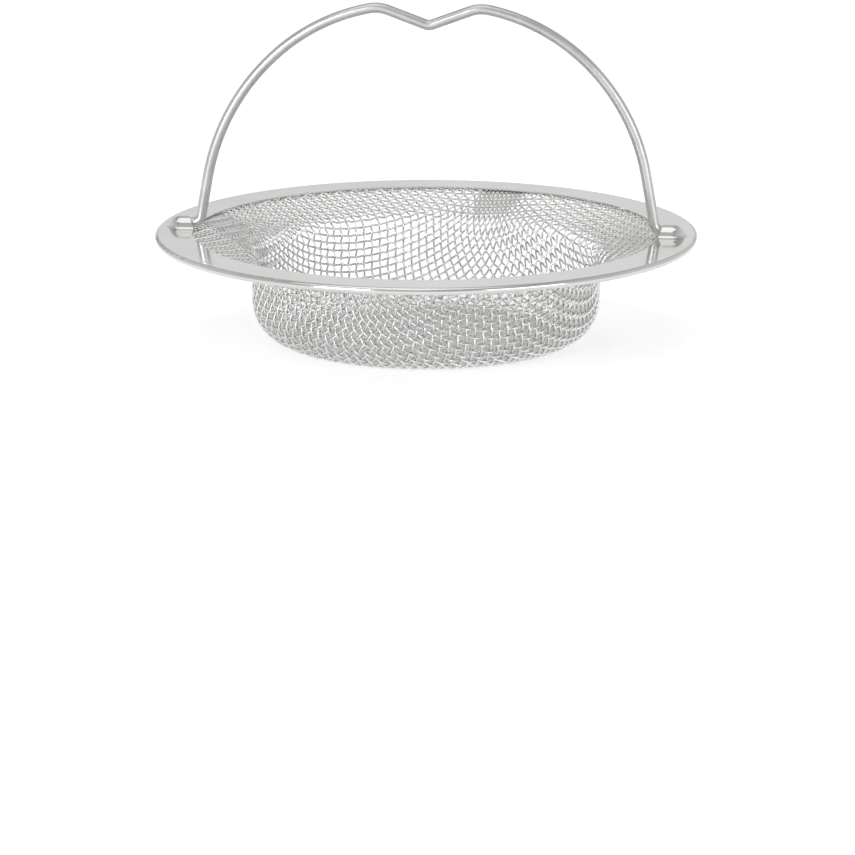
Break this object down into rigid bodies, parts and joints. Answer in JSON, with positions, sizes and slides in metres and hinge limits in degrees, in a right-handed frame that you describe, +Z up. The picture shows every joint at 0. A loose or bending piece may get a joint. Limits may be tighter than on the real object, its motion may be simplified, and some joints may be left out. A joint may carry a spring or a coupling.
{
  "type": "basket strainer",
  "caption": "Sink drain basket strainer: a flat hemmed rim ring, a cup-shaped woven wire basket, and a wire bail handle that swings in two pressed bosses.",
  "frame": {"origin": "on the strainer's axis, at the underside of the basket's floor", "axes": "+Z up along the basket's axis, out of its mouth; +X along the bail's pivot axis"},
  "size_m": [0.114, 0.114, 0.0715],
  "materials": {
    "rim_steel": "polished stainless sheet",
    "wire_cloth": "bright drawn stainless wire, woven",
    "bail_wire": "bright drawn stainless wire"
  },
  "bodies": {
    "strainer": {"rim_ring": "rim_steel", "mesh_basket": "wire_cloth"},
    "bail": {"bail_handle": "bail_wire"}
  },
  "joints": [
    {"name": "bail_swing", "type": "hinge", "parent": "strainer", "child": "bail", "pos_m": [0, 0, 0.02405], "axis": [1, 0, 0], "range_deg": [-89, 89]}
  ]
}
